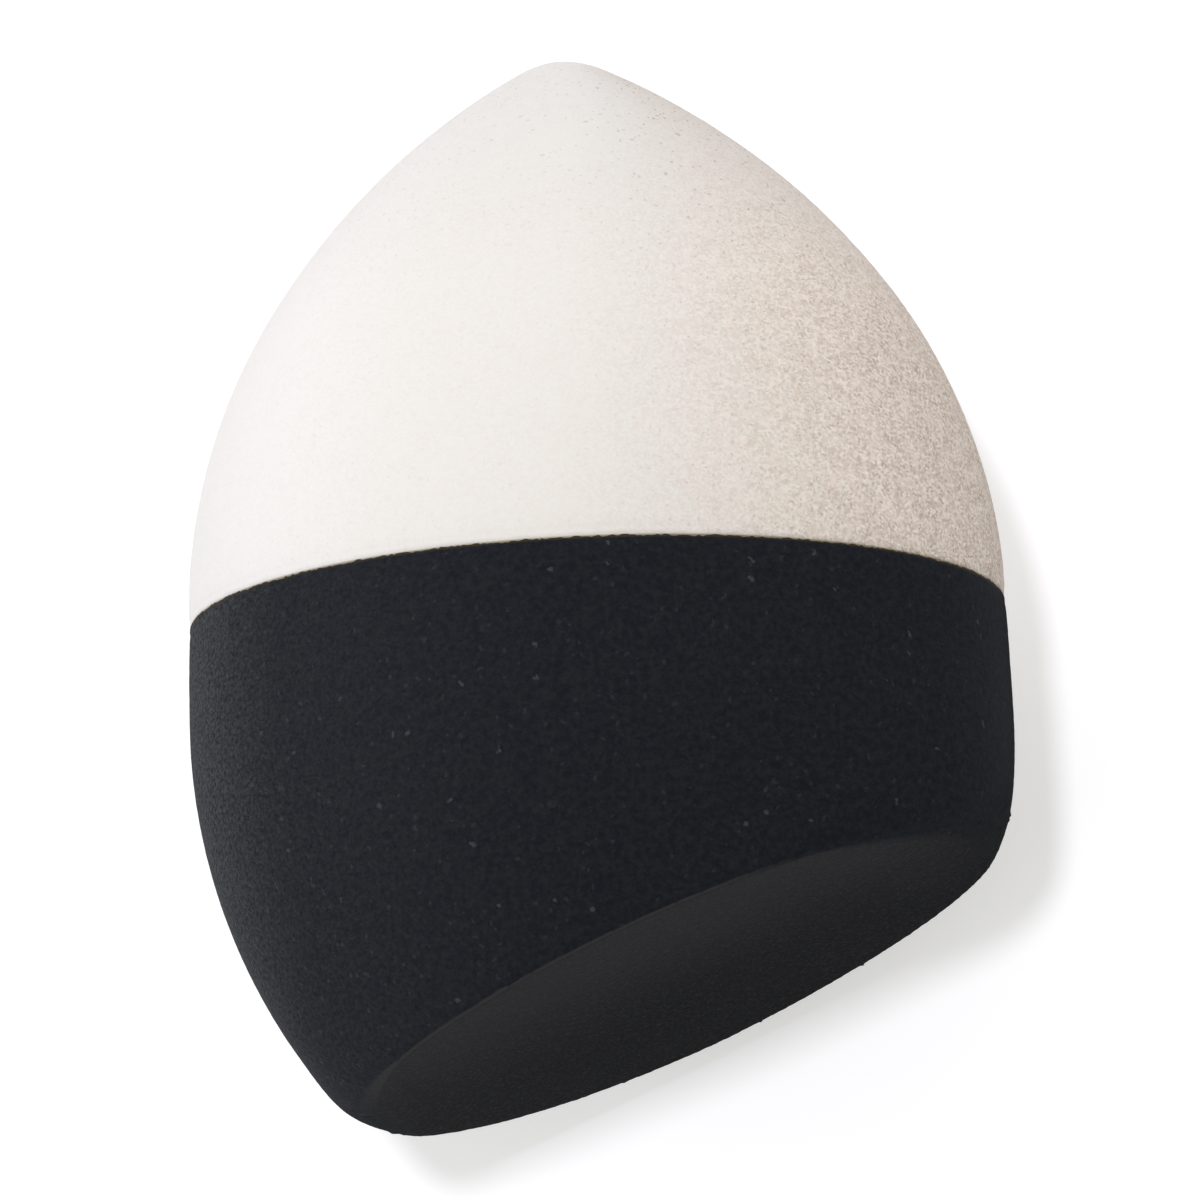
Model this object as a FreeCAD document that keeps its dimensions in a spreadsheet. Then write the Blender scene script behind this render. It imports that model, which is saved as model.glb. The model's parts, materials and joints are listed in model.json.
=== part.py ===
import FreeCAD, Part
import Sketcher
import math
import os

# A two-tone foam makeup sponge that lies on its side, in millimetres.
# Y runs along its axis to the pointed tip, X across it and Z up.
# The origin is the middle of the flat that it lies on, below the middle of its widest band.

SIZES = {
    # The round form that both foams are ground to: a straight band with an arc above and below it
    "belly_diameter": 45.0,
    "belly_band_height": 5.0,
    "tip_side_radius": 33.0,
    "base_side_radius": 32.0,
    # The pointed tip: a shoulder above the band, where the side gives way to a flatter flank,
    # and a rounded nose
    "tip_shoulder_rise": 19.4,
    "tip_flank_radius": 42.5,
    "tip_nose_radius": 4.8,
    # The seam between the foams, above the band
    "seam_rise": 0.7,
    # The adhesive film in its recess in the base foam, inside a rim of bare foam
    "bond_film_thickness": 0.2,
    "bond_film_inset": 1.5,
    "bond_film_clearance": 0.1,
    # The slanted face: its distance from the band's middle along the axis, its slope,
    # its rounded ends and how far these run out past the side
    "cut_drop": 18.7,
    "cut_slant": 21.5,
    "cut_heel_radius": 3.0,
    "cut_toe_radius": 5.0,
    "cut_runout": 0.15,
    # The flat that the foam's weight presses on its underside
    "rest_flat_depth": 0.5,
    # How far a cutting shape reaches past the foam
    "cut_overrun": 2.0,
}

SEAM_HEIGHT = "Sizes.belly_band_height / 2 + Sizes.seam_rise"
SHOULDER_HEIGHT = "Sizes.belly_band_height / 2 + Sizes.tip_shoulder_rise"
BELLY_RADIUS = "Sizes.belly_diameter / 2"
RECESS_RADIUS = BELLY_RADIUS + " - Sizes.bond_film_inset"

# The ends of a line or an arc, the middle of an arc, and a sketch's own origin
START, END, CENTRE = range(1, 4)
ORIGIN = (-1, START)


def make_sheet(doc):
    """The spreadsheet that holds the driving dimensions."""
    sheet = doc.addObject("Spreadsheet::Sheet", "Sizes")
    for row, (alias, value) in enumerate(SIZES.items(), start=1):
        sheet.set(f"A{row}", alias)
        sheet.set(f"B{row}", str(value))
        sheet.setAlias(f"B{row}", alias)
    doc.recompute()
    return sheet


def new_body(doc, name):
    """A body with its axis at the height that puts the sponge's flat on the floor."""
    body = doc.addObject("PartDesign::Body", name)
    body.Label = name
    body.setExpression("Placement.Base.z", BELLY_RADIUS + " - Sizes.rest_flat_depth")
    return body


def new_sketch(body, name, role):
    """A sketch on one of the body's own origin planes."""
    sketch = body.newObject("Sketcher::SketchObject", name)
    plane = next(item for item in body.Origin.OriginFeatures if item.Role == role)
    sketch.AttachmentSupport = (plane, [""])
    sketch.MapMode = "FlatFace"
    return sketch


def line(start, end):
    return Part.LineSegment(FreeCAD.Vector(*start, 0), FreeCAD.Vector(*end, 0))


def arc(centre, start, end):
    """An arc from start to end, anticlockwise about its centre."""
    angles = [math.atan2(y - centre[1], x - centre[0]) for x, y in (start, end)]
    if angles[1] < angles[0]:
        angles[1] += math.tau
    radius = math.dist(centre, start)
    circle = Part.Circle(FreeCAD.Vector(*centre, 0), FreeCAD.Vector(0, 0, 1), radius)
    return Part.ArcOfCircle(circle, *angles)


def polygon(points):
    """The lines of a closed outline."""
    return [line(a, b) for a, b in zip(points, points[1:] + points[:1])]


def join(sketch, *ends):
    """Makes each end meet the start of the next piece."""
    for first, second in zip(ends[::2], ends[1::2]):
        sketch.addConstraint(Sketcher.Constraint("Coincident", *first, *second))


def smooth(sketch, first, second):
    """Joins two ends in one direction."""
    sketch.addConstraint(Sketcher.Constraint("Tangent", *first, *second))


def level(sketch, *pieces):
    for piece in pieces:
        sketch.addConstraint(Sketcher.Constraint("Horizontal", piece))


def upright(sketch, *pieces):
    for piece in pieces:
        sketch.addConstraint(Sketcher.Constraint("Vertical", piece))


def on_axis(sketch, *points):
    """Holds points on the sketch's upright axis, which is its piece -2."""
    for point in points:
        sketch.addConstraint(Sketcher.Constraint("PointOnObject", *point, -2))


def drive(sketch, name, expression, kind, *place):
    """Adds a dimension whose value comes from the spreadsheet."""
    value = sketch.evalExpression(expression)
    if kind == "Angle":
        value = math.radians(value)
    index = sketch.addConstraint(Sketcher.Constraint(kind, *place, value))
    sketch.renameConstraint(index, name)
    sketch.setExpression(f"Constraints.{name}", expression)


def revolve(body, sketch, name):
    """Turns an outline right round the sponge's axis."""
    turned = body.newObject("PartDesign::Revolution", name)
    turned.Profile = sketch
    turned.ReferenceAxis = (sketch, ["V_Axis"])
    sketch.Document.recompute()
    return turned


def cut_through(body, sketch, name):
    """Cuts an outline through the whole body, both ways, and tests that it took foam away."""
    before = body.Shape.Volume
    pocket = body.newObject("PartDesign::Pocket", name)
    pocket.Profile = sketch
    pocket.Type = "ThroughAll"
    pocket.SideType = "Symmetric"
    sketch.Document.recompute()
    if not 0 < body.Shape.Volume < before:
        raise RuntimeError(f"{name} cut nothing")


def cut_rest_flat(body, size):
    """The flat underside, which runs across the seam from one foam to the other."""
    half = size.belly_diameter / 2
    top = size.rest_flat_depth - half
    bottom = -half - size.cut_overrun
    sketch = new_sketch(body, "rest_flat_outline", "XZ_Plane")
    sketch.addGeometry(polygon([(-half, top), (half, top), (half, bottom), (-half, bottom)]))
    join(sketch, (0, END), (1, START), (1, END), (2, START), (2, END), (3, START), (3, END), (0, START))
    level(sketch, 0, 2)
    upright(sketch, 1, 3)
    drive(sketch, "right", BELLY_RADIUS, "DistanceX", *ORIGIN, 0, END)
    drive(sketch, "left", BELLY_RADIUS, "DistanceX", 0, START, *ORIGIN)
    drive(sketch, "top", BELLY_RADIUS + " - Sizes.rest_flat_depth", "DistanceY", 0, END, *ORIGIN)
    drive(sketch, "bottom", BELLY_RADIUS + " + Sizes.cut_overrun", "DistanceY", 2, START, *ORIGIN)
    cut_through(body, sketch, "rest_flat")


def make_tip_foam(doc, size):
    """The pale foam: an arched side, a flatter flank and a rounded nose above the seam."""
    belly = size.belly_diameter / 2
    band_top = size.belly_band_height / 2
    seam = band_top + size.seam_rise
    turn = math.asin(size.tip_shoulder_rise / size.tip_side_radius)
    away = (math.cos(turn), math.sin(turn))
    side_centre = (belly - size.tip_side_radius, band_top)
    rim = (side_centre[0] + math.sqrt(size.tip_side_radius**2 - size.seam_rise**2), seam)
    shoulder = tuple(c + size.tip_side_radius * a for c, a in zip(side_centre, away))
    flank_centre = tuple(s - size.tip_flank_radius * a for s, a in zip(shoulder, away))
    nose_reach = size.tip_flank_radius - size.tip_nose_radius
    nose_centre = (0, flank_centre[1] + math.sqrt(nose_reach**2 - flank_centre[0] ** 2))
    stretch = size.tip_flank_radius / nose_reach
    nose_start = tuple(f + (n - f) * stretch for f, n in zip(flank_centre, nose_centre))
    apex = (0, nose_centre[1] + size.tip_nose_radius)

    body = new_body(doc, "tip_foam")
    sketch = new_sketch(body, "tip_outline", "XY_Plane")
    sketch.addGeometry(
        [
            line((0, seam), rim),
            arc(side_centre, rim, shoulder),
            arc(flank_centre, shoulder, nose_start),
            arc(nose_centre, nose_start, apex),
            line(apex, (0, seam)),
        ]
    )
    join(sketch, (0, END), (1, START), (3, END), (4, START), (4, END), (0, START))
    smooth(sketch, (1, END), (2, START))
    smooth(sketch, (2, END), (3, START))
    level(sketch, 0)
    on_axis(sketch, (0, START), (3, END), (3, CENTRE))
    drive(sketch, "seam_height", SEAM_HEIGHT, "DistanceY", *ORIGIN, 0, START)
    drive(sketch, "side_radius", "Sizes.tip_side_radius", "Radius", 1)
    drive(sketch, "side_inset", "Sizes.tip_side_radius - " + BELLY_RADIUS, "DistanceX", 1, CENTRE, *ORIGIN)
    drive(sketch, "side_height", "Sizes.belly_band_height / 2", "DistanceY", *ORIGIN, 1, CENTRE)
    drive(sketch, "shoulder_height", SHOULDER_HEIGHT, "DistanceY", *ORIGIN, 1, END)
    drive(sketch, "flank_radius", "Sizes.tip_flank_radius", "Radius", 2)
    drive(sketch, "nose_radius", "Sizes.tip_nose_radius", "Radius", 3)
    revolve(body, sketch, "tip_round")
    cut_rest_flat(body, size)
    return body


def make_base_round(body, size):
    """The dark foam before it is cut: the belly down to a point, with the recess for the film."""
    belly = size.belly_diameter / 2
    band_top = size.belly_band_height / 2
    seam = band_top + size.seam_rise
    recess = (belly - size.bond_film_inset, seam - size.bond_film_thickness)
    upper_centre = (belly - size.tip_side_radius, band_top)
    rim = (upper_centre[0] + math.sqrt(size.tip_side_radius**2 - size.seam_rise**2), seam)
    lower_centre = (belly - size.base_side_radius, -band_top)
    point = (0, -band_top - math.sqrt(size.base_side_radius**2 - lower_centre[0] ** 2))

    sketch = new_sketch(body, "base_outline", "XY_Plane")
    sketch.addGeometry(
        [
            line((0, recess[1]), recess),
            line(recess, (recess[0], seam)),
            line((recess[0], seam), rim),
            arc(upper_centre, (belly, band_top), rim),
            line((belly, band_top), (belly, -band_top)),
            arc(lower_centre, point, (belly, -band_top)),
            line(point, (0, recess[1])),
        ]
    )
    join(sketch, (0, END), (1, START), (1, END), (2, START), (2, END), (3, END))
    join(sketch, (5, START), (6, START), (6, END), (0, START))
    smooth(sketch, (3, START), (4, START))
    smooth(sketch, (4, END), (5, END))
    level(sketch, 0, 2)
    upright(sketch, 1, 4)
    on_axis(sketch, (0, START), (5, START))
    drive(sketch, "recess_radius", RECESS_RADIUS, "DistanceX", *ORIGIN, 1, START)
    drive(sketch, "recess_depth", "Sizes.bond_film_thickness", "DistanceY", 1, START, 1, END)
    drive(sketch, "seam_height", SEAM_HEIGHT, "DistanceY", *ORIGIN, 2, START)
    drive(sketch, "upper_radius", "Sizes.tip_side_radius", "Radius", 3)
    drive(sketch, "belly_radius", BELLY_RADIUS, "DistanceX", *ORIGIN, 4, START)
    drive(sketch, "band_top", "Sizes.belly_band_height / 2", "DistanceY", *ORIGIN, 4, START)
    drive(sketch, "band_height", "Sizes.belly_band_height", "DistanceY", 4, END, 4, START)
    drive(sketch, "lower_radius", "Sizes.base_side_radius", "Radius", 5)
    revolve(body, sketch, "base_round")
    return point


def cut_corner(size, way, radius):
    """Where the slanted face rounds into the side: the arc's centre and its two ends.

    The arc leaves the face smoothly and meets, smoothly too, the side moved out by the runout.
    """
    slant = math.radians(size.cut_slant)
    slope = math.tan(slant)
    side_x = way * (size.belly_diameter / 2 - size.base_side_radius)
    side_y = -size.belly_band_height / 2
    side_radius = size.base_side_radius + size.cut_runout
    rise = radius / math.cos(slant) - size.cut_drop - side_y
    square = 1 + slope**2
    half = slope * rise - side_x
    rest = side_x**2 + rise**2 - (side_radius - radius) ** 2
    x = (way * math.sqrt(half**2 - square * rest) - half) / square
    centre = (x, slope * x + rise + side_y)
    on_face = (x + radius * math.sin(slant), centre[1] - radius * math.cos(slant))
    stretch = side_radius / (side_radius - radius)
    on_side = (side_x + (x - side_x) * stretch, side_y + (centre[1] - side_y) * stretch)
    return centre, on_face, on_side


def cut_slanted_face(body, size, point):
    """The slanted face, with a rounded heel on its long side and a rounded toe on its short one."""
    belly = size.belly_diameter / 2
    band_bottom = -size.belly_band_height / 2
    heel_centre, heel_face, heel_side = cut_corner(size, -1, size.cut_heel_radius)
    toe_centre, toe_face, toe_side = cut_corner(size, 1, size.cut_toe_radius)
    right = belly + size.cut_overrun
    bottom = point[1] - size.cut_overrun
    side_x = belly - size.base_side_radius
    edge = belly + size.cut_runout

    sketch = new_sketch(body, "slant_outline", "XY_Plane")
    sketch.addGeometry(
        [
            line(heel_face, toe_face),
            arc(toe_centre, toe_face, toe_side),
            line(toe_side, (right, toe_side[1])),
            line((right, toe_side[1]), (right, bottom)),
            line((right, bottom), (-right, bottom)),
            line((-right, bottom), (-right, heel_side[1])),
            line((-right, heel_side[1]), heel_side),
            arc(heel_centre, heel_side, heel_face),
        ]
    )
    guides = [
        arc((side_x, band_bottom), toe_side, (edge, band_bottom)),
        arc((-side_x, band_bottom), (-edge, band_bottom), heel_side),
        line((0, 0), (0, -size.cut_drop)),
    ]
    sketch.addGeometry(guides, True)
    smooth(sketch, (0, END), (1, START))
    smooth(sketch, (7, END), (0, START))
    smooth(sketch, (1, END), (8, START))
    smooth(sketch, (7, START), (9, END))
    join(sketch, (1, END), (2, START), (2, END), (3, START), (3, END), (4, START))
    join(sketch, (4, END), (5, START), (5, END), (6, START), (6, END), (7, START))
    join(sketch, (10, START), ORIGIN)
    level(sketch, 2, 4, 6)
    upright(sketch, 3, 5, 10)
    sketch.addConstraint(Sketcher.Constraint("PointOnObject", 10, END, 0))
    sketch.addConstraint(Sketcher.Constraint("Horizontal", 8, CENTRE, 8, END))
    sketch.addConstraint(Sketcher.Constraint("Horizontal", 9, CENTRE, 9, START))
    drive(sketch, "slant", "Sizes.cut_slant", "Angle", 0)
    drive(sketch, "drop", "Sizes.cut_drop", "DistanceY", 10, END, 10, START)
    drive(sketch, "toe_radius", "Sizes.cut_toe_radius", "Radius", 1)
    drive(sketch, "heel_radius", "Sizes.cut_heel_radius", "Radius", 7)
    inset = "Sizes.base_side_radius - " + BELLY_RADIUS
    for name, guide, place in (
        ("toe", 8, (8, CENTRE, *ORIGIN)),
        ("heel", 9, (*ORIGIN, 9, CENTRE)),
    ):
        drive(sketch, f"{name}_side", "Sizes.base_side_radius + Sizes.cut_runout", "Radius", guide)
        drive(sketch, f"{name}_inset", inset, "DistanceX", *place)
        drive(sketch, f"{name}_height", "Sizes.belly_band_height / 2", "DistanceY", guide, CENTRE, *ORIGIN)
    reach = BELLY_RADIUS + " + Sizes.cut_overrun"
    depth = (
        "Sizes.belly_band_height / 2 + Sizes.cut_overrun"
        f" + sqrt(Sizes.base_side_radius ^ 2 - ({inset}) ^ 2)"
    )
    drive(sketch, "right", reach, "DistanceX", *ORIGIN, 3, START)
    drive(sketch, "left", reach, "DistanceX", 5, START, *ORIGIN)
    drive(sketch, "bottom", depth, "DistanceY", 4, START, *ORIGIN)
    cut_through(body, sketch, "slanted_face")


def make_base_foam(doc, size):
    """The dark foam below the seam."""
    body = new_body(doc, "base_foam")
    point = make_base_round(body, size)
    cut_slanted_face(body, size, point)
    cut_rest_flat(body, size)
    return body


def make_bond_film(doc, size):
    """The disc of adhesive that fills the recess up to the seam."""
    seam = size.belly_band_height / 2 + size.seam_rise
    low = seam - size.bond_film_thickness
    radius = size.belly_diameter / 2 - size.bond_film_inset - size.bond_film_clearance
    body = new_body(doc, "bond_film")
    sketch = new_sketch(body, "film_outline", "XY_Plane")
    sketch.addGeometry(polygon([(0, low), (radius, low), (radius, seam), (0, seam)]))
    join(sketch, (0, END), (1, START), (1, END), (2, START), (2, END), (3, START), (3, END), (0, START))
    level(sketch, 0, 2)
    upright(sketch, 1, 3)
    on_axis(sketch, (0, START))
    drive(sketch, "radius", RECESS_RADIUS + " - Sizes.bond_film_clearance", "DistanceX", *ORIGIN, 1, START)
    drive(sketch, "thickness", "Sizes.bond_film_thickness", "DistanceY", 1, START, 1, END)
    drive(sketch, "seam_height", SEAM_HEIGHT, "DistanceY", *ORIGIN, 2, START)
    revolve(body, sketch, "film_round")
    return body


def check(doc, bodies):
    """Stops before anything is written if an object failed or a piece isn't one valid solid."""
    for item in doc.Objects:
        if {"Invalid", "Error"} & set(item.State):
            raise RuntimeError(f"{item.Name} failed: {item.State}")
    for body in bodies:
        shape = body.Shape
        if shape.isNull() or not shape.isValid() or len(shape.Solids) != 1:
            raise RuntimeError(f"{body.Label} isn't one valid solid")


def main():
    doc = FreeCAD.newDocument("makeup_sponge")
    size = make_sheet(doc)
    bodies = [make_tip_foam(doc, size), make_base_foam(doc, size), make_bond_film(doc, size)]
    doc.recompute()
    check(doc, bodies)
    os.makedirs("parts", exist_ok=True)
    for body in bodies:
        body.Shape.exportStep(os.path.join("parts", body.Label + ".step"))
        box = body.Shape.BoundBox
        print(body.Label, f"{body.Shape.Volume:.1f} mm3", box)


main()
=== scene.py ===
"""Looks of the makeup sponge: two foams with their cells, the film between them, and the studio round it."""

import json
import math

import bpy
import numpy as np
from mathutils import Matrix, Vector, noise
from mathutils.bvhtree import BVHTree


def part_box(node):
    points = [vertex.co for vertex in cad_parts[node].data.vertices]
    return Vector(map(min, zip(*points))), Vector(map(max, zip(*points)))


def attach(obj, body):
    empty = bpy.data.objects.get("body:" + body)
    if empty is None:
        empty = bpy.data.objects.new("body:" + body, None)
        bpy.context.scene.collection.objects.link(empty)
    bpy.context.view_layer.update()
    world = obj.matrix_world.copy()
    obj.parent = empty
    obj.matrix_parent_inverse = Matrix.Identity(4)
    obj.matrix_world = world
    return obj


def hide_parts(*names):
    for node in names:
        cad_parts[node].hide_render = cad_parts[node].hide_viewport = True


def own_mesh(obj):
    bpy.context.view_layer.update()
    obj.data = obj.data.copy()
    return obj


MM = 0.001
LEAST_LENGTH = MM * MM
SEED = 7

# The skin's mesh: points round the seam, the rows' spacing, and how far a point strays, as a share of a step.
# The rows follow a mean outline, which is taken at so many rows and columns.
SEAM_COLUMNS = 768
LEAST_COLUMNS = 6
ROW_SPACING = 0.225 * MM
STRAY_SHARE = 0.28
SMOOTHING_PASSES = 5
SOFT_END_PASSES = 110
RAY_REACH = 100 * MM
OUTLINE_ROWS = 180
OUTLINE_COLUMNS = 24
LAST_POLAR = math.radians(89.9)
SEAM_POLAR = math.radians(89.95)

# The seam: torn cells in fine teeth on a slow waver, and a slight tuck of both foams
TOOTH_HEIGHT = 0.055 * MM
WAVER_HEIGHT = 0.05 * MM
WAVER_LENGTH = 1.6 * MM
TUCK_DEPTH = 0.19 * MM
TUCK_REACH = 3.0 * MM
RECESS_CLEARANCE = 0.1 * MM
SEAM_SLACK = 0.04 * MM

# The crease round the slanted face fades out beyond these places across, at the toe and at the heel
TOE_FADE = (13 * MM, 18 * MM)
HEEL_FADE = (-9 * MM, -14 * MM)
FADE_HEIGHTS = (14 * MM, 26 * MM)
FADE_FILL = 0.45 * MM
FILL_FACING = (0.15, 0.6)

# The slanted face swells a little towards its low edge, on the side of the heel
SWELL_DEPTH = 0.26 * MM
SWELL_HEIGHTS = (30 * MM, 8 * MM)
SWELL_PLACES = (11 * MM, 1 * MM)

# The tip leans a little to the long side of the slanted face
LEAN = 0.8 * MM
LEAN_REACH = 8.4 * MM

# Uneven grinding over the whole sponge
UNEVEN_HEIGHT = 0.05 * MM
UNEVEN_LENGTH = 9 * MM

# Open cells and torn cell walls, which stand up further on the dark foam
CELL_PITCH = 0.42 * MM
CELL_WIDTH_SHARE = 0.45
CELL_DEPTH = 0.035 * MM
NAP_PITCH = 0.3 * MM
PALE_NAP = 0.02 * MM
DARK_NAP = 0.04 * MM
DARK_OPEN_SHARE = 0.4

# The pale foam's cells stand deeper, and the shade painted in them grows darker, from its lit left to its
# shaded right.
# Sides run round the axis, from -1 at the left to 1 at the right.
SHADE_SIDE_START = 0.05
SHADE_SIDE_STOP = 1.05
LIT_SIDE_SHARE = 0.12

# Crumbs of foam along the edge of the slanted face, which lies between these shares of facing it
CRUMB_HEIGHT = 0.1 * MM
CRUMB_SHARE = 0.03
CRUMB_FACING = (0.6, 0.92)
CRUMB_SIZES = (0.3, 1.0)

# The baked picture: a disc for the skin and a small one for the flat end, each as its middle and its radius
BAKE_SKIN = (0.45, 0.45, 0.44)
BAKE_END = (0.945, 0.945, 0.05)

# The camera, from the outline and the seam in the photo: turn about the sponge's axis, tilt and image roll
VIEW_TURN = math.radians(10.65)
VIEW_TILT = math.radians(11.587)
VIEW_ROLL = math.radians(-2.249)
VIEW_AIM = Vector((0.179, 4.268, 21.966)) * MM
VIEW_DISTANCE = 425.4 * MM
LENS = 233.0
SENSOR = 36.0

# Light levels: a level of 1 shows a colour as it is written
AMBIENT_LEVEL = 0.345
AMBIENT_COLOUR = (1.0, 0.97, 0.77, 1.0)
FRONT_LEVEL = 0.425
FRONT_WAY = Vector((0.19, -0.24, -1.0))
FRONT_ANGLE = math.radians(5.0)
TIP_SIDE_LEVEL = 0.402
TIP_SIDE_WAY = Vector((0.1, -0.93, -0.36))
LEFT_SIDE_LEVEL = 0.53
LEFT_SIDE_WAY = Vector((0.90, 0.24, -0.35))
LEFT_SIDE_COLOUR = (0.88, 0.90, 1.0)
RIGHT_SIDE_LEVEL = 0.22
RIGHT_SIDE_WAY = Vector((-0.90, -0.20, -0.38))
LAMP_DISTANCE = 0.5
LAMP_SIZE = 0.5
LAMP_COLOUR = (0.96, 0.95, 1.0)
FLOOR_GLOW = 0.48
FLOOR_COLOUR = (0.64, 0.64, 0.67, 1.0)
FLOOR_HALF = 3.0
WHITE = (1.0, 1.0, 1.0, 1.0)

# Colours of the foams and the film
# Painted light: the pale foam's whiter tone where light falls, at its left and apex
PALE_LIT_WHITE = (0.855, 0.842, 0.836, 1.0)
PALE_FOAM = (0.828, 0.806, 0.791, 1.0)
# Painted shade: the warm tone over the pale foam's shaded right
PALE_SHADE_SIDE_WARM = (0.985, 0.905, 0.845, 1.0)
# Painted shade in the pale foam's hollows, flush and pits, strongest on its shaded right; the pit colour also
# gives real specks
PALE_HOLLOW_SHADE = (0.55, 0.45, 0.375, 1.0)
PALE_FLUSH_SHADE = (0.88, 0.69, 0.61, 1.0)
PALE_PIT_SHADE_AND_SPECK = (0.45, 0.33, 0.27, 1.0)
SEAM_FRINGE = (0.27, 0.22, 0.13, 1.0)
SEAM_SHADE = (0.050, 0.042, 0.026, 1.0)
DARK_FOAM = (0.0105, 0.0124, 0.0172, 1.0)
DARK_NAP_TOP = (0.0190, 0.0207, 0.0255, 1.0)
# Painted sheen at the dark foam's lit left, also the real light grain of the slanted face
DARK_DUST_AND_SHEEN = (0.086, 0.088, 0.096, 1.0)
DARK_LINT = (0.050, 0.058, 0.070, 1.0)
DARK_CUT = (0.0355, 0.0360, 0.0420, 1.0)
# Painted shade: the slanted face near the floor
DARK_CUT_SHADE_LOW = (0.0104, 0.0112, 0.0142, 1.0)
# The frayed crease, painted lighter as a highlight
DARK_CREASE_WEAR_AND_HIGHLIGHT = (0.046, 0.046, 0.049, 1.0)
FILM_CLEAR = (0.70, 0.66, 0.54, 1.0)
FILM_CLOUD = (0.78, 0.75, 0.64, 1.0)

# Grain: its finer blobs, how it is drawn out along the foam's rise, how pits and lint stray from round, in
# millimetres, and the share of a dot's radius that is even
GRAIN_DETAIL = 3.0
GRAIN_ROUGHNESS = 0.8
RISE_SQUEEZE = (1.0, 1.0, 0.7)
STRAY_PITCH = 0.35
STRAY_DETAIL = 1.0
STRAY_REACH = (0.5, 0.5, 0.5)
DOT_CORE = 0.5

# Below, a step is the values where it starts and stops, then the shares there where they aren't 0 and 1.
# Places and pitches are in millimetres. Dots are a pitch, a radius and a share of the cells.

# The pale foam along its axis, then from side to side: painted light at the apex and the left, and painted
# warm shade at the right
APEX_OPENING = (16.0, 34.0, 0.0, 0.45)
APEX_LIT_STEP = (22.0, 33.0, 0.0, 0.9)
LOWER_STEP = (14.0, 29.0, 1.0, 0.18)
LIT_SIDE_FADE = (-0.74, -0.19)
WARM_SHADE_STEP = (0.28, 0.95)
WARM_SHADE_SHARES = (0.0, 1.0, 0.5, 1.0)
HOLLOW_SHADE_STEP = (0.3, 0.95, 0.7, 0.92)

# The pale foam's grain, cells and specks, the shade painted in its flush, hollows and pits, and its fringe at
# the seam
PALE_GRAIN_PITCH = 0.17
HOLLOW_PITCH = 0.13
PATCH_PITCH = 1.2
PATCH_STEP = (0.35, 0.65, 0.75, 1.2)
FLUSH_PITCH = 0.5
FLUSH_STEP = (0.45, 0.65)
FLUSH_SHARE = 0.4
PITS = (0.45, 0.11, 0.6)
PIT_SHARE = 0.65
SPECKS = (1.5, 0.11, 0.06)
SPECK_SHARE = 0.5
FRINGE_ABOVE = 0.13
FRINGE_BELOW = 0.02
FRINGE_SHARE = 0.9

# The dark foam across, with painted sheen at its lit left, then its slanted face with painted shade towards
# the floor, and the crease with a painted highlight, by how far a point faces as the cut does
LIT_LEFT_STEP = (4.0, -23.0)
SHEEN_RIM_STEP = (-13.0, -22.0, 0.31, 1.1)
CUT_STEP = (0.95, 0.995)
CUT_SHARE = 0.9
CUT_SHADE_HEIGHTS = (40.0, 16.0)
CUT_GRAIN_STEP = (0.46, 0.68, 0.0, 0.28)
CUT_SHEEN_SHARE = 0.14
CREASE_START = (0.76, 0.88)
CREASE_STOP = (0.985, 0.95)
CREASE_HEIGHTS = (22.0, 30.0, 0.0, 0.9)
CREASE_TOE = (15.0, 8.0)
CREASE_HEEL = (-15.0, -10.0)

# The dark foam's grain, the speckle of its painted sheen, its lint with painted glints at the left, and its
# shade at the seam
DARK_GRAIN_PITCH = 0.35
DARK_GRAIN_STEP = (0.32, 0.70)
DARK_FINE_PITCH = 0.22
SHEEN_SPECK_STEP = (0.28, 0.75)
FAINT_LINT = (0.7, 0.15, 0.6)
FAINT_LINT_GLINT_SHARES = (0.0, 1.0, 0.25, 0.6)
BRIGHT_LINT = (1.0, 0.18, 0.16)
BRIGHT_LINT_SHARES = (0.0, 1.0, 0.8, 0.25)
SHADE_BELOW = 0.15

# Gloss, sheen and depth of the surfaces, and the film's clouds
FOAM_ROUGHNESS = 0.95
PALE_SPECULAR = 0.1
PALE_SHEEN = 0.08
PALE_SHEEN_ROUGHNESS = 0.5
PALE_BUMP = 0.16 * MM
DARK_SPECULAR = 0.0
DARK_SHEEN = 0.045
DARK_SHEEN_ROUGHNESS = 0.4
DARK_SHEEN_TINT = (0.85, 0.85, 0.85, 1.0)
DARK_BUMP = 0.06 * MM
CLOUD_LENGTH = 2.5 * MM
CLOUD_DETAIL = 4.0
CLOUD_STEP = (0.35, 0.65)
FILM_ROUGHNESS = (0.3, 0.7, 0.35, 0.6)
FILM_BUMP = 0.05 * MM


def mount(name):
    """Place and axis of one of the record's mounts."""
    found = next(m for m in frame["record"]["mounts"] if m["name"] == name)
    return Vector(found["pos_m"]), Vector(found["axis"])


def skin_tree(node):
    """A node's faces as a tree that rays are cast on."""
    mesh = frame["nodes"][node].data
    return BVHTree.FromPolygons([v.co for v in mesh.vertices], [p.vertices for p in mesh.polygons])


def direction(polar, azimuth, side):
    """Unit vector at a polar angle from the axis, which points to the tip (side 1) or the base (side -1)."""
    across = math.sin(polar)
    return Vector((across * math.cos(azimuth), side * math.cos(polar), across * math.sin(azimuth)))


def skin_point(tree, centre, toward):
    """The point of the skin that lies in that direction from the centre."""
    return tree.ray_cast(centre + toward * RAY_REACH, -toward)[0]


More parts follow.
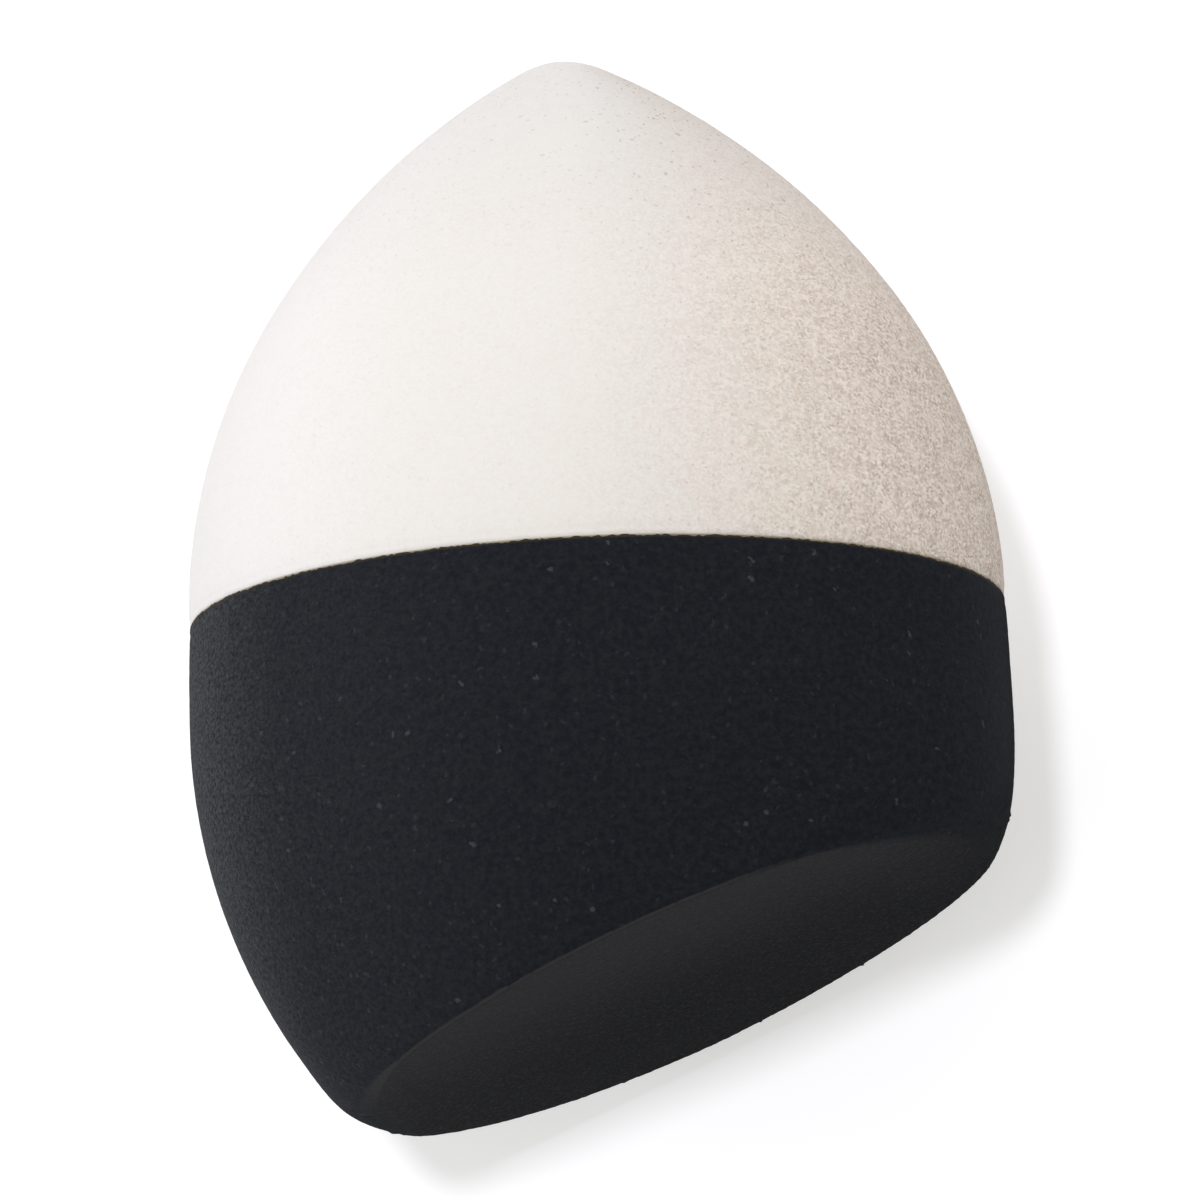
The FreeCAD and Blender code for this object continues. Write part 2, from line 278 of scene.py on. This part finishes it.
def even_rows(tree, centre, side):
    """Polar angles of the rows, spread evenly along the skin's mean outline, and the radius of each row."""
    polar = np.linspace(0.0, LAST_POLAR, OUTLINE_ROWS)
    around = np.linspace(0.0, 2 * math.pi, OUTLINE_COLUMNS, endpoint=False)
    reach = np.array([
        np.mean([(skin_point(tree, centre, direction(p, a, side)) - centre).length for a in around])
        for p in polar
    ])
    outline = np.stack([reach * np.sin(polar), reach * np.cos(polar)])
    run = np.concatenate([[0.0], np.cumsum(np.hypot(*np.diff(outline, axis=1)))])
    stops = np.linspace(0.0, run[-1], round(run[-1] / ROW_SPACING) + 1)
    return np.interp(stops, run, polar), np.interp(stops, run, outline[0])


def columns_at(radius):
    """How many points a ring of that radius has: the seam's count, halved as the ring narrows."""
    halvings = max(0, round(math.log2(SEAM_RADIUS / radius)))
    return max(LEAST_COLUMNS, SEAM_COLUMNS >> halvings)


def tuck(along):
    """How far the skin draws in at that place along the axis, near the seam."""
    return TUCK_DEPTH * math.exp(-abs(along - SEAM_CENTRE.y) / TUCK_REACH)


def make_seam(tree, centre, rng):
    """The edge that both foams share: one ring of points with torn teeth, on the base's side of the seam."""
    step = 2 * math.pi / SEAM_COLUMNS
    azimuth = (np.arange(SEAM_COLUMNS) + rng.uniform(-STRAY_SHARE, STRAY_SHARE, SEAM_COLUMNS)) * step
    teeth = rng.uniform(-TOOTH_HEIGHT, TOOTH_HEIGHT, SEAM_COLUMNS)
    edge = []
    for angle, tooth in zip(azimuth, teeth):
        outward = direction(SEAM_POLAR, angle, 1)
        point = skin_point(tree, centre, outward) - outward * TUCK_DEPTH
        waver = WAVER_HEIGHT * noise.noise(point / WAVER_LENGTH)
        point.y = SEAM_EDGE + tooth + waver
        point.z = max(point.z, 0.0)
        edge.append(point)
    return np.array(edge)


def skin_rows(tree, centre, side, rng):
    """Rings of points over the skin, from the pole to the row beside the seam."""
    polar, radius = even_rows(tree, centre, side)
    rows = [np.array([skin_point(tree, centre, direction(0.0, 0.0, side))])]
    for i in range(1, len(polar) - 1):
        count = columns_at(radius[i])
        stray = rng.uniform(-STRAY_SHARE, STRAY_SHARE, (2, count))
        azimuth = (np.arange(count) + stray[0]) * 2 * math.pi / count
        angle = polar[i] + stray[1] * (polar[i + 1] - polar[i])
        rows.append(np.array([
            skin_point(tree, centre, direction(p, a, side)) for p, a in zip(angle, azimuth)
        ]))
    return rows


def ring(centre, radius, along, count):
    """A flat ring of points about the axis, at that place along it."""
    azimuth = np.arange(count) * 2 * math.pi / count
    return np.stack([
        centre.x + radius * np.cos(azimuth),
        np.full(count, along),
        centre.z + radius * np.sin(azimuth),
    ], axis=1)


def flat_end(centre, radius, along):
    """Rings that close a piece with a flat disc, from its edge to its middle."""
    rows = []
    count = SEAM_COLUMNS
    while count > LEAST_COLUMNS:
        rows.append(ring(centre, radius * count / SEAM_COLUMNS, along, count))
        count //= 2
    rows.append(np.array([[centre.x, along, centre.z]]))
    return rows


def span(start, a, other, b, j):
    """The faces of one step round between a ring of a points and a ring of b points."""
    if a == b:
        k = (j + 1) % a
        return [(start + j, start + k, other + k, other + j)]
    if a == 1:
        return [(start, other + (j + 1) % b, other + j)]
    if b == 1:
        return [(start + j, start + (j + 1) % a, other)]
    first, middle, last = 2 * j, 2 * j + 1, (2 * j + 2) % max(a, b)
    k = (j + 1) % min(a, b)
    if a > b:
        return [
            (start + first, start + middle, other + j),
            (start + middle, other + k, other + j),
            (start + middle, start + last, other + k),
        ]
    return [
        (start + j, other + middle, other + first),
        (start + j, start + k, other + middle),
        (start + k, other + last, other + middle),
    ]


def bridge(rows, side):
    """Outward faces between rings, each with as many points as the last, half or twice as many, or one."""
    faces = []
    start = 0
    for near, far in zip(rows, rows[1:]):
        a, b = len(near), len(far)
        steps = max(a, b) if 1 in (a, b) else min(a, b)
        for j in range(steps):
            faces += span(start, a, start + a, b, j)
        start += a
    return [face[::side] for face in faces]


def smooth(points, mesh, weight, passes):
    """Evens out the skin: each point moves towards the mean of its neighbours, by its weight from 0 to 1."""
    ends = np.empty(len(mesh.edges) * 2, np.int32)
    mesh.edges.foreach_get("vertices", ends)
    here, there = np.concatenate([ends.reshape(-1, 2), ends.reshape(-1, 2)[:, ::-1]]).T
    neighbours = np.bincount(here, minlength=len(points))
    for _ in range(passes):
        for axis in range(3):
            mean = np.bincount(here, points[there, axis], len(points)) / neighbours
            points[:, axis] += weight * (mean - points[:, axis]) / 2
    return points


def step_between(values, start, stop):
    """A smooth step from 0, where a value is start, to 1, where it is stop."""
    share = np.clip((values - start) / (stop - start), 0.0, 1.0)
    return share * share * (3 - 2 * share)


def set_points(mesh, points):
    """Moves the mesh's points to those places."""
    mesh.vertices.foreach_set("co", points.astype(np.float32).ravel())
    mesh.update()


def normals_of(mesh):
    """The normal at each of the mesh's points."""
    found = np.empty(len(mesh.vertices) * 3, np.float32)
    mesh.vertices.foreach_get("normal", found)
    return found.reshape(-1, 3).astype(float)


def add_bake_map(mesh, rows, skin_count):
    """Lays the skin out as a disc about its pole, and the flat end as a small disc beside it."""
    edge_row = next(i for i, total in enumerate(np.cumsum([len(r) for r in rows])) if total >= skin_count)
    share = np.concatenate([np.full(len(r), min(i / edge_row, 1.0)) for i, r in enumerate(rows)])
    points = np.concatenate(rows)
    across = points[:, [0, 2]] - (SEAM_CENTRE.x, SEAM_CENTRE.z)
    length = np.maximum(np.linalg.norm(across, axis=1, keepdims=True), LEAST_LENGTH)
    on_skin = np.array(BAKE_SKIN[:2]) + BAKE_SKIN[2] * share[:, None] * across / length
    on_end = np.array(BAKE_END[:2]) + BAKE_END[2] * across / SEAM_RADIUS
    corners = np.empty(len(mesh.loops), np.int32)
    mesh.loops.foreach_get("vertex_index", corners)
    flags = np.repeat(closing_faces(mesh, skin_count), [len(p.vertices) for p in mesh.polygons])
    places = np.where(flags[:, None], on_end[corners], on_skin[corners])
    mesh.uv_layers.new(name="OFBake").uv.foreach_set("vector", places.astype(np.float32).ravel())


def closing_faces(mesh, skin_count):
    """Which faces belong to the flat end: those with a point after the seam's edge."""
    return np.array([max(p.vertices) >= skin_count for p in mesh.polygons])


def make_piece(name, skin, seam, end, side):
    """A closed mesh of rings: the skin, evened out, then the seam's edge and the flat end."""
    rows = skin + [seam] + end
    free_count = sum(len(r) for r in skin)
    skin_count = free_count + len(seam)
    mesh = bpy.data.meshes.new(name)
    points = np.concatenate(rows)
    mesh.from_pydata(points.tolist(), [], bridge(rows, side))
    mesh.polygons.foreach_set("use_smooth", ~closing_faces(mesh, skin_count))
    add_bake_map(mesh, rows, skin_count)
    free = np.arange(len(points)) < free_count
    points = smooth(points, mesh, free, SMOOTHING_PASSES)
    set_points(mesh, points)
    piece = bpy.data.objects.new(name, mesh)
    bpy.context.scene.collection.objects.link(piece)
    return piece, points, free_count


def relief(point, nap, open_share):
    """Height of the surface: uneven grinding, dents of open cells, a nap of torn walls and the seam's tuck."""
    nearest = noise.voronoi(point / CELL_PITCH)[0][0]
    dent = max(0.0, 1.0 - nearest / CELL_WIDTH_SHARE)
    rough = nap * noise.noise(point / NAP_PITCH) - CELL_DEPTH * dent
    return open_share * rough + UNEVEN_HEIGHT * noise.noise(point / UNEVEN_LENGTH) - tuck(point.y)


def roughen(mesh, points, free_count, nap, open_share, crumbs):
    """Gives the skin its cells and crumbs, above the floor, and keeps the places that materials follow."""
    normals = normals_of(mesh)
    for i in range(free_count):
        points[i] += normals[i] * (relief(Vector(points[i]), nap, open_share[i]) + crumbs[i])
    points[:, 2] = np.maximum(points[:, 2], 0.0)
    set_points(mesh, points)
    rest = mesh.attributes.new("rest_mm", "FLOAT_VECTOR", "POINT")
    rest.data.foreach_set("vector", (points / MM).astype(np.float32).ravel())


def make_tip(seam, rng):
    """The pale foam, from the apex down to the seam."""
    skin = skin_rows(skin_tree("tip_foam"), SEAM_CENTRE, 1, rng)
    end = flat_end(SEAM_CENTRE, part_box("bond_film")[1].x + RECESS_CLEARANCE, SEAM_CENTRE.y)
    piece, points, free_count = make_piece("tip_sponge", skin, seam, end, 1)
    drop = APEX.y - points[:free_count, 1]
    points[:free_count, 0] -= LEAN * np.exp(-drop / LEAN_REACH)
    set_points(piece.data, points)
    across = points - np.array(SEAM_CENTRE)
    side = across[:, 0] / np.maximum(np.hypot(across[:, 0], across[:, 2]), LEAST_LENGTH)
    open_share = LIT_SIDE_SHARE + (1 - LIT_SIDE_SHARE) * step_between(side, SHADE_SIDE_START, SHADE_SIDE_STOP)
    roughen(piece.data, points, free_count, PALE_NAP, open_share, np.zeros(free_count))
    return piece


def shape_cut(mesh, points, free_count):
    """Fades the crease round the slanted face at toe and heel, and swells the face towards its low edge."""
    facing = normals_of(mesh) @ np.array(CUT_AXIS)
    swell = SWELL_DEPTH * step_between(points[:, 2], *SWELL_HEIGHTS) * np.clip(facing, 0.0, 1.0)
    swell *= step_between(points[:, 0], *SWELL_PLACES)
    points[:free_count] += (swell[:, None] * np.array(CUT_AXIS))[:free_count]
    fade = np.maximum(step_between(points[:, 0], *TOE_FADE), step_between(points[:, 0], *HEEL_FADE))
    fade *= step_between(points[:, 1], 0.0, CUT_PLACE.y / 2) * step_between(points[:, 2], *FADE_HEIGHTS)
    fade[free_count:] = 0.0
    points += normals_of(mesh) * (FADE_FILL * fade * step_between(facing, *FILL_FACING))[:, None]
    set_points(mesh, smooth(points, mesh, fade, SOFT_END_PASSES))


def make_base(seam, rng):
    """The dark foam, from the slanted face up to the seam, with the recess for the film."""
    skin = skin_rows(skin_tree("base_foam"), SEAM_CENTRE, -1, rng)
    low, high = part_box("bond_film")
    recess = high.x + RECESS_CLEARANCE
    rim = ring(SEAM_CENTRE, recess, SEAM_CENTRE.y - SEAM_SLACK, SEAM_COLUMNS)
    end = [rim] + flat_end(SEAM_CENTRE, recess, low.y)
    piece, points, free_count = make_piece("base_sponge", skin, seam, end, -1)
    shape_cut(piece.data, points, free_count)
    facing = normals_of(piece.data) @ np.array(CUT_AXIS)
    stored = piece.data.attributes.new("cut_facing", "FLOAT", "POINT")
    stored.data.foreach_set("value", facing.astype(np.float32))
    on_edge = (facing > CRUMB_FACING[0]) & (facing < CRUMB_FACING[1])
    chosen = rng.uniform(size=len(points)) < CRUMB_SHARE
    crumbs = np.where(on_edge & chosen, rng.uniform(*CRUMB_SIZES, len(points)) * CRUMB_HEIGHT, 0.0)
    roughen(piece.data, points, free_count, DARK_NAP, np.full(free_count, DARK_OPEN_SHARE), crumbs)
    return piece


def add(tree, kind, inputs=(), **settings):
    """A new node of that kind with its settings, its inputs set or linked."""
    made = tree.nodes.new("ShaderNode" + kind)
    for name, value in settings.items():
        setattr(made, name, value)
    for name, value in dict(inputs).items():
        if isinstance(value, bpy.types.NodeSocket):
            tree.links.new(value, made.inputs[name])
        else:
            made.inputs[name].default_value = value
    return made


def new_material(name):
    """An empty material and its node tree."""
    material = bpy.data.materials.new(name)
    material.use_nodes = True
    material.node_tree.nodes.clear()
    return material, material.node_tree


def surface(tree, shader):
    """Makes that shader the material's surface."""
    output = add(tree, "OutputMaterial")
    tree.links.new(shader.outputs[0], output.inputs["Surface"])


def kept(tree, name, output):
    """A value that the mesh keeps at each point."""
    return add(tree, "Attribute", attribute_name=name).outputs[output]


def grain_at(tree, place, pitch):
    """Uneven grain, about 0.5, with blobs of that pitch in millimetres and finer ones in them."""
    inputs = {"Vector": place, "Scale": 1 / pitch, "Detail": GRAIN_DETAIL, "Roughness": GRAIN_ROUGHNESS}
    return add(tree, "TexNoise", inputs).outputs[0]


def along_rise(tree, place):
    """The place with its height squeezed: what follows it is drawn out upwards, as foam's cells are."""
    return add(tree, "VectorMath", {0: place, 1: RISE_SQUEEZE}, operation="MULTIPLY").outputs[0]


def side_of(tree, place):
    """How far round the axis a place lies: -1 at the left, 0 on top or below, and 1 at the right."""
    flat = (1.0, 0.0, 1.0)
    from_axis = (0.0, 0.0, -SEAM_CENTRE.z / MM)
    across = add(tree, "VectorMath", {0: place, 1: flat, 2: from_axis}, operation="MULTIPLY_ADD")
    outward = add(tree, "VectorMath", {0: across.outputs[0]}, operation="NORMALIZE")
    return add(tree, "SeparateXYZ", {0: outward.outputs[0]}).outputs["X"]


def cells_at(tree, place, pitch):
    """Cells of that pitch in millimetres: distances to their middles, in pitches, and a value per cell."""
    cells = add(tree, "TexVoronoi", {"Vector": place, "Scale": 1 / pitch})
    value = add(tree, "SeparateColor", {0: cells.outputs["Color"]}).outputs[0]
    return cells.outputs["Distance"], value


def strayed(tree, place):
    """The place with a small uneven shift, so that what follows it loses its round shape."""
    inputs = {"Vector": place, "Scale": 1 / STRAY_PITCH, "Detail": STRAY_DETAIL}
    shift = add(tree, "TexNoise", inputs).outputs["Color"]
    return add(tree, "VectorMath", {0: shift, 1: STRAY_REACH, 2: place}, operation="MULTIPLY_ADD").outputs[0]


def dots(tree, place, pitch, radius, share):
    """Round dots of that radius in a share of the cells of that pitch, in millimetres."""
    distance, value = cells_at(tree, place, pitch)
    near = ramp(tree, distance, radius / pitch, DOT_CORE * radius / pitch)
    chosen = add(tree, "Math", {0: value, 1: share}, operation="LESS_THAN").outputs[0]
    return times(tree, near, chosen)


def ramp(tree, value, start, stop, low=0.0, high=1.0):
    """A smooth step from low, where the value is start, to high, where it is stop."""
    inputs = {"Value": value, "From Min": start, "From Max": stop, "To Min": low, "To Max": high}
    return add(tree, "MapRange", inputs, interpolation_type="SMOOTHSTEP").outputs[0]


def times(tree, first, second):
    """The product of two values."""
    return add(tree, "Math", {0: first, 1: second}, operation="MULTIPLY").outputs[0]


def plus(tree, first, second):
    """The sum of two values."""
    return add(tree, "Math", {0: first, 1: second}, operation="ADD").outputs[0]


def blend(tree, share, first, second):
    """The first colour, with a share of the second."""
    return add(tree, "Mix", {0: share, 6: first, 7: second}, data_type="RGBA").outputs[2]


def bump(tree, height, depth):
    """A normal that shows heights from 0 to 1 as that depth in metres."""
    return add(tree, "Bump", {"Height": height, "Distance": depth}).outputs[0]


def pale_tone(tree, side, along, lower):
    """The pale foam's colour under its cells: painted whitest where light falls at the left and the apex, and
    with warm painted shade at the right.
    """
    # Painted light and shade: whiter at the lit left and apex, a warm tone on the shaded right
    colour = blend(tree, ramp(tree, side, *LIT_SIDE_FADE), PALE_LIT_WHITE, PALE_FOAM)
    colour = blend(tree, ramp(tree, along, *APEX_LIT_STEP), colour, PALE_LIT_WHITE)
    warm_shade = times(tree, ramp(tree, side, *WARM_SHADE_STEP), ramp(tree, lower, *WARM_SHADE_SHARES))
    return blend(tree, warm_shade, colour, PALE_SHADE_SIDE_WARM)


def pale_cells(tree, colour, place, side, open_share, lower):
    """Adds a flush, hollows of open cells in patches and pits, painted as shade strongest on the shaded right,
    and a few specks to the pale foam's colour.
    """
    # Painted shade: flush, hollows and pits darken the cells most on the shaded right
    flush_shade = ramp(tree, grain_at(tree, place, FLUSH_PITCH), *FLUSH_STEP)
    flush_shade = times(tree, flush_shade, times(tree, open_share, lower))
    colour = blend(tree, times(tree, flush_shade, FLUSH_SHARE), colour, PALE_FLUSH_SHADE)
    value = cells_at(tree, along_rise(tree, place), HOLLOW_PITCH)[1]
    hollow_shade = times(tree, value, open_share)
    hollow_shade = times(tree, hollow_shade, ramp(tree, grain_at(tree, place, PATCH_PITCH), *PATCH_STEP))
    hollow_shade = times(tree, hollow_shade, ramp(tree, side, *HOLLOW_SHADE_STEP))
    colour = blend(tree, times(tree, hollow_shade, lower), colour, PALE_HOLLOW_SHADE)
    pit_shade = times(tree, dots(tree, strayed(tree, place), *PITS), open_share)
    colour = blend(tree, times(tree, pit_shade, PIT_SHARE), colour, PALE_PIT_SHADE_AND_SPECK)
    specks = dots(tree, place, *SPECKS)
    return blend(tree, times(tree, specks, SPECK_SHARE), colour, PALE_PIT_SHADE_AND_SPECK)


def pale_foam():
    """Warm white foam, painted whiter at its lit left and warm with shaded cells at its shaded right, with a
    brown fringe at the seam.
    """
    material, tree = new_material("pale_foam")
    place = kept(tree, "rest_mm", "Vector")
    along = add(tree, "SeparateXYZ", {0: place}).outputs["Y"]
    side = side_of(tree, place)
    # open_share also sets where painted shade falls in the cells: most on the shaded right and towards the
    # apex
    open_share = ramp(tree, side, SHADE_SIDE_START, SHADE_SIDE_STOP, LIT_SIDE_SHARE, 1.0)
    open_share = plus(tree, open_share, ramp(tree, along, *APEX_OPENING))
    lower = ramp(tree, along, *LOWER_STEP)
    colour = pale_tone(tree, side, along, lower)
    colour = pale_cells(tree, colour, place, side, open_share, lower)
    edge = SEAM_EDGE / MM
    fringe = ramp(tree, along, edge + FRINGE_ABOVE, edge - FRINGE_BELOW, 0.0, FRINGE_SHARE)
    grain = grain_at(tree, along_rise(tree, place), PALE_GRAIN_PITCH)
    shader = add(tree, "BsdfPrincipled", {
        "Base Color": blend(tree, fringe, colour, SEAM_FRINGE),
        "Roughness": FOAM_ROUGHNESS,
        "Specular IOR Level": PALE_SPECULAR,
        "Sheen Weight": PALE_SHEEN,
        "Sheen Roughness": PALE_SHEEN_ROUGHNESS,
        "Normal": bump(tree, times(tree, grain, open_share), PALE_BUMP),
    })
    surface(tree, shader)
    return material


def cut_tone(tree, height, fine, left):
    """The slanted face's colour: painted shade darker towards the floor, light grain, and painted sheen at its
    left.
    """
    # Painted shade: darker towards the floor
    colour = blend(tree, ramp(tree, height, *CUT_SHADE_HEIGHTS), DARK_CUT, DARK_CUT_SHADE_LOW)
    colour = blend(tree, ramp(tree, fine, *CUT_GRAIN_STEP), colour, DARK_DUST_AND_SHEEN)
    # Painted sheen at the lit left
    return blend(tree, times(tree, left, CUT_SHEEN_SHARE), colour, DARK_DUST_AND_SHEEN)


def crease_highlight_share(tree, axes, facing):
    """How far the painted highlight on the frayed crease above the slanted face shows: on its bend, and away
    from toe and heel.
    """
    bend = times(tree, ramp(tree, facing, *CREASE_START), ramp(tree, facing, *CREASE_STOP))
    upper = times(tree, bend, ramp(tree, axes["Z"], *CREASE_HEIGHTS))
    ends = times(tree, ramp(tree, axes["X"], *CREASE_TOE), ramp(tree, axes["X"], *CREASE_HEEL))
    return times(tree, upper, ends)


def add_lint(tree, colour, place, left, on_cut):
    """Adds faint lint, with painted glints making it stronger at the lit left, and bright lint, weaker on the
    slanted face, to the colour.
    """
    uneven = strayed(tree, place)
    # Painted glints: faint lint shows more at the lit left
    faint = times(tree, dots(tree, uneven, *FAINT_LINT), ramp(tree, left, *FAINT_LINT_GLINT_SHARES))
    colour = blend(tree, faint, colour, DARK_LINT)
    bright = times(tree, dots(tree, uneven, *BRIGHT_LINT), ramp(tree, on_cut, *BRIGHT_LINT_SHARES))
    return blend(tree, bright, colour, DARK_LINT)


def dark_foam():
    """Bluish black foam: a lighter nap, painted sheen at the left, a greyer slanted face with painted shade
    low down, a frayed crease painted with a highlight, and lint.
    """
    material, tree = new_material("dark_foam")
    place = kept(tree, "rest_mm", "Vector")
    axes = add(tree, "SeparateXYZ", {0: place}).outputs
    rise = along_rise(tree, place)
    facing = kept(tree, "cut_facing", "Fac")
    # left grows towards the lit left, where sheen and lint glints are painted
    left = ramp(tree, axes["X"], *LIT_LEFT_STEP)
    on_cut = ramp(tree, facing, *CUT_STEP)
    grain = grain_at(tree, rise, DARK_GRAIN_PITCH)
    fine = grain_at(tree, rise, DARK_FINE_PITCH)
    colour = blend(tree, ramp(tree, grain, *DARK_GRAIN_STEP), DARK_FOAM, DARK_NAP_TOP)
    # Painted sheen: the grain lightened along the lit left rim
    painted_sheen = times(tree, left, ramp(tree, fine, *SHEEN_SPECK_STEP))
    painted_sheen = times(tree, painted_sheen, ramp(tree, axes["X"], *SHEEN_RIM_STEP))
    colour = blend(tree, painted_sheen, colour, DARK_DUST_AND_SHEEN)
    cut_colour = cut_tone(tree, axes["Z"], fine, left)
    colour = blend(tree, times(tree, on_cut, CUT_SHARE), colour, cut_colour)
    # Painted highlight along the frayed crease
    colour = blend(tree, crease_highlight_share(tree, axes, facing), colour, DARK_CREASE_WEAR_AND_HIGHLIGHT)
    colour = add_lint(tree, colour, place, left, on_cut)
    edge = SEAM_EDGE / MM
    shade = ramp(tree, axes["Y"], edge - SHADE_BELOW, edge)
    shader = add(tree, "BsdfPrincipled", {
        "Base Color": blend(tree, shade, colour, SEAM_SHADE),
        "Roughness": FOAM_ROUGHNESS,
        "Specular IOR Level": DARK_SPECULAR,
        "Sheen Weight": DARK_SHEEN,
        "Sheen Roughness": DARK_SHEEN_ROUGHNESS,
        "Sheen Tint": DARK_SHEEN_TINT,
        "Normal": bump(tree, grain, DARK_BUMP),
    })
    surface(tree, shader)
    return material


def film():
    """Milky hot-melt adhesive, clouded where it soaked into the foam."""
    material, tree = new_material("bond_film")
    place = add(tree, "TexCoord").outputs["Object"]
    inputs = {"Vector": place, "Scale": 1 / CLOUD_LENGTH, "Detail": CLOUD_DETAIL}
    cloud = add(tree, "TexNoise", inputs).outputs[0]
    shader = add(tree, "BsdfPrincipled", {
        "Base Color": blend(tree, ramp(tree, cloud, *CLOUD_STEP), FILM_CLEAR, FILM_CLOUD),
        "Roughness": ramp(tree, cloud, *FILM_ROUGHNESS),
        "Normal": bump(tree, cloud, FILM_BUMP),
    })
    surface(tree, shader)
    return material


def seen_directly(tree):
    """1 where the camera, a reflection or glass looks, and 0 where light is gathered."""
    path = add(tree, "LightPath").outputs
    some = plus(tree, path["Is Camera Ray"], path["Is Glossy Ray"])
    every = add(tree, "Math", {0: some, 1: path["Is Transmission Ray"]}, operation="ADD", use_clamp=True)
    return every.outputs[0]


def make_floor():
    """A white floor that keeps the sponge's shadow."""
    mesh = bpy.data.meshes.new("floor")
    corners = [(-1, -1), (1, -1), (1, 1), (-1, 1)]
    mesh.from_pydata([(x * FLOOR_HALF, y * FLOOR_HALF, 0.0) for x, y in corners], [], [(0, 1, 2, 3)])
    floor = bpy.data.objects.new("floor", mesh)
    bpy.context.scene.collection.objects.link(floor)
    material, tree = new_material("floor_paper")
    paper = add(tree, "BsdfDiffuse", {"Color": FLOOR_COLOUR})
    share = times(tree, seen_directly(tree), FLOOR_GLOW)
    glow = add(tree, "Emission", {"Color": WHITE, "Strength": share})
    surface(tree, add(tree, "AddShader", {0: paper.outputs[0], 1: glow.outputs[0]}))
    mesh.materials.append(material)


def make_world():
    """Even light from all round, which the camera sees as white."""
    world = bpy.data.worlds.new("studio")
    world.use_nodes = True
    tree = world.node_tree
    tree.nodes.clear()
    light = add(tree, "Background", {"Color": AMBIENT_COLOUR, "Strength": AMBIENT_LEVEL})
    white = add(tree, "Background", {"Color": WHITE, "Strength": 1.0})
    both = add(tree, "MixShader", {0: seen_directly(tree), 1: light.outputs[0], 2: white.outputs[0]})
    output = add(tree, "OutputWorld")
    tree.links.new(both.outputs[0], output.inputs["Surface"])
    bpy.context.scene.world = world


def new_lamp(name, kind, energy, toward, colour):
    """A lamp that shines along that direction, at the middle of the seam."""
    lamp = bpy.data.lights.new(name, kind)
    lamp.energy = energy
    lamp.color = colour
    thing = bpy.data.objects.new(name, lamp)
    thing.location = SEAM_CENTRE - toward.normalized() * LAMP_DISTANCE
    thing.rotation_mode = "QUATERNION"
    thing.rotation_quaternion = toward.to_track_quat("-Z", "Y")
    bpy.context.scene.collection.objects.link(thing)
    return lamp


def soft_lamp(name, level, toward, colour=LAMP_COLOUR):
    """A square lamp that lights the sponge from one side."""
    lamp = new_lamp(name, "AREA", level * math.pi**2 * LAMP_DISTANCE**2, toward, colour)
    lamp.size = LAMP_SIZE


def front_sun(camera_turn):
    """The lamp above and left of the camera, whose shadow falls to the lower right."""
    lamp = new_lamp("front", "SUN", FRONT_LEVEL * math.pi, camera_turn @ FRONT_WAY, LAMP_COLOUR)
    lamp.angle = FRONT_ANGLE


def make_camera():
    """The photo's camera; gives its turn."""
    turn = Matrix.Rotation(VIEW_TURN, 3, "Y") @ Matrix.Rotation(VIEW_TILT, 3, "X")
    turn = turn @ Matrix.Rotation(VIEW_ROLL, 3, "Z")
    data = bpy.data.cameras.new("camera")
    data.lens = LENS
    data.sensor_width = SENSOR
    camera = bpy.data.objects.new("camera", data)
    camera.matrix_world = Matrix.Translation(VIEW_AIM + turn.col[2] * VIEW_DISTANCE) @ turn.to_4x4()
    bpy.context.scene.collection.objects.link(camera)
    bpy.context.scene.camera = camera
    return turn


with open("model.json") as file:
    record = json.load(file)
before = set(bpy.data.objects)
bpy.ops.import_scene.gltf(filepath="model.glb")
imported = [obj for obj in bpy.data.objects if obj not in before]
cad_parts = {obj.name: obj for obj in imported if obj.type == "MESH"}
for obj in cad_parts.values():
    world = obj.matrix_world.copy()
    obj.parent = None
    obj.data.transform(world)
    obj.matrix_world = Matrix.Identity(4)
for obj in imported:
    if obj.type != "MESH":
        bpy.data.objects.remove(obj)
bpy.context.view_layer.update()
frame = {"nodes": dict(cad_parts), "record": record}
CUT_PLACE, CUT_AXIS = mount("slanted_face")
SEAM_CENTRE = Vector((0.0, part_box("tip_foam")[0].y, CUT_PLACE.z))
SEAM_EDGE = SEAM_CENTRE.y - TOOTH_HEIGHT - WAVER_HEIGHT
SEAM_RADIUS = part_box("tip_foam")[1].x
APEX = Vector((0.0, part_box("tip_foam")[1].y, CUT_PLACE.z))

rng = np.random.default_rng(SEED)
seam = make_seam(skin_tree("tip_foam"), SEAM_CENTRE, rng)
tip = make_tip(seam, rng)
base = make_base(seam, rng)
tip.data.materials.append(pale_foam())
base.data.materials.append(dark_foam())
frame["nodes"]["bond_film"].material_slots[0].material = film()

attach(tip, "tip")
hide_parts("tip_foam")
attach(base, "base")
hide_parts("base_foam")
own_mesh(tip)

make_floor()
make_world()
camera_turn = make_camera()
soft_lamp("tip_side", TIP_SIDE_LEVEL, TIP_SIDE_WAY)
soft_lamp("left_side", LEFT_SIDE_LEVEL, LEFT_SIDE_WAY, LEFT_SIDE_COLOUR)
soft_lamp("right_side", RIGHT_SIDE_LEVEL, RIGHT_SIDE_WAY)
front_sun(camera_turn)
bpy.context.scene.view_settings.view_transform = "Standard"
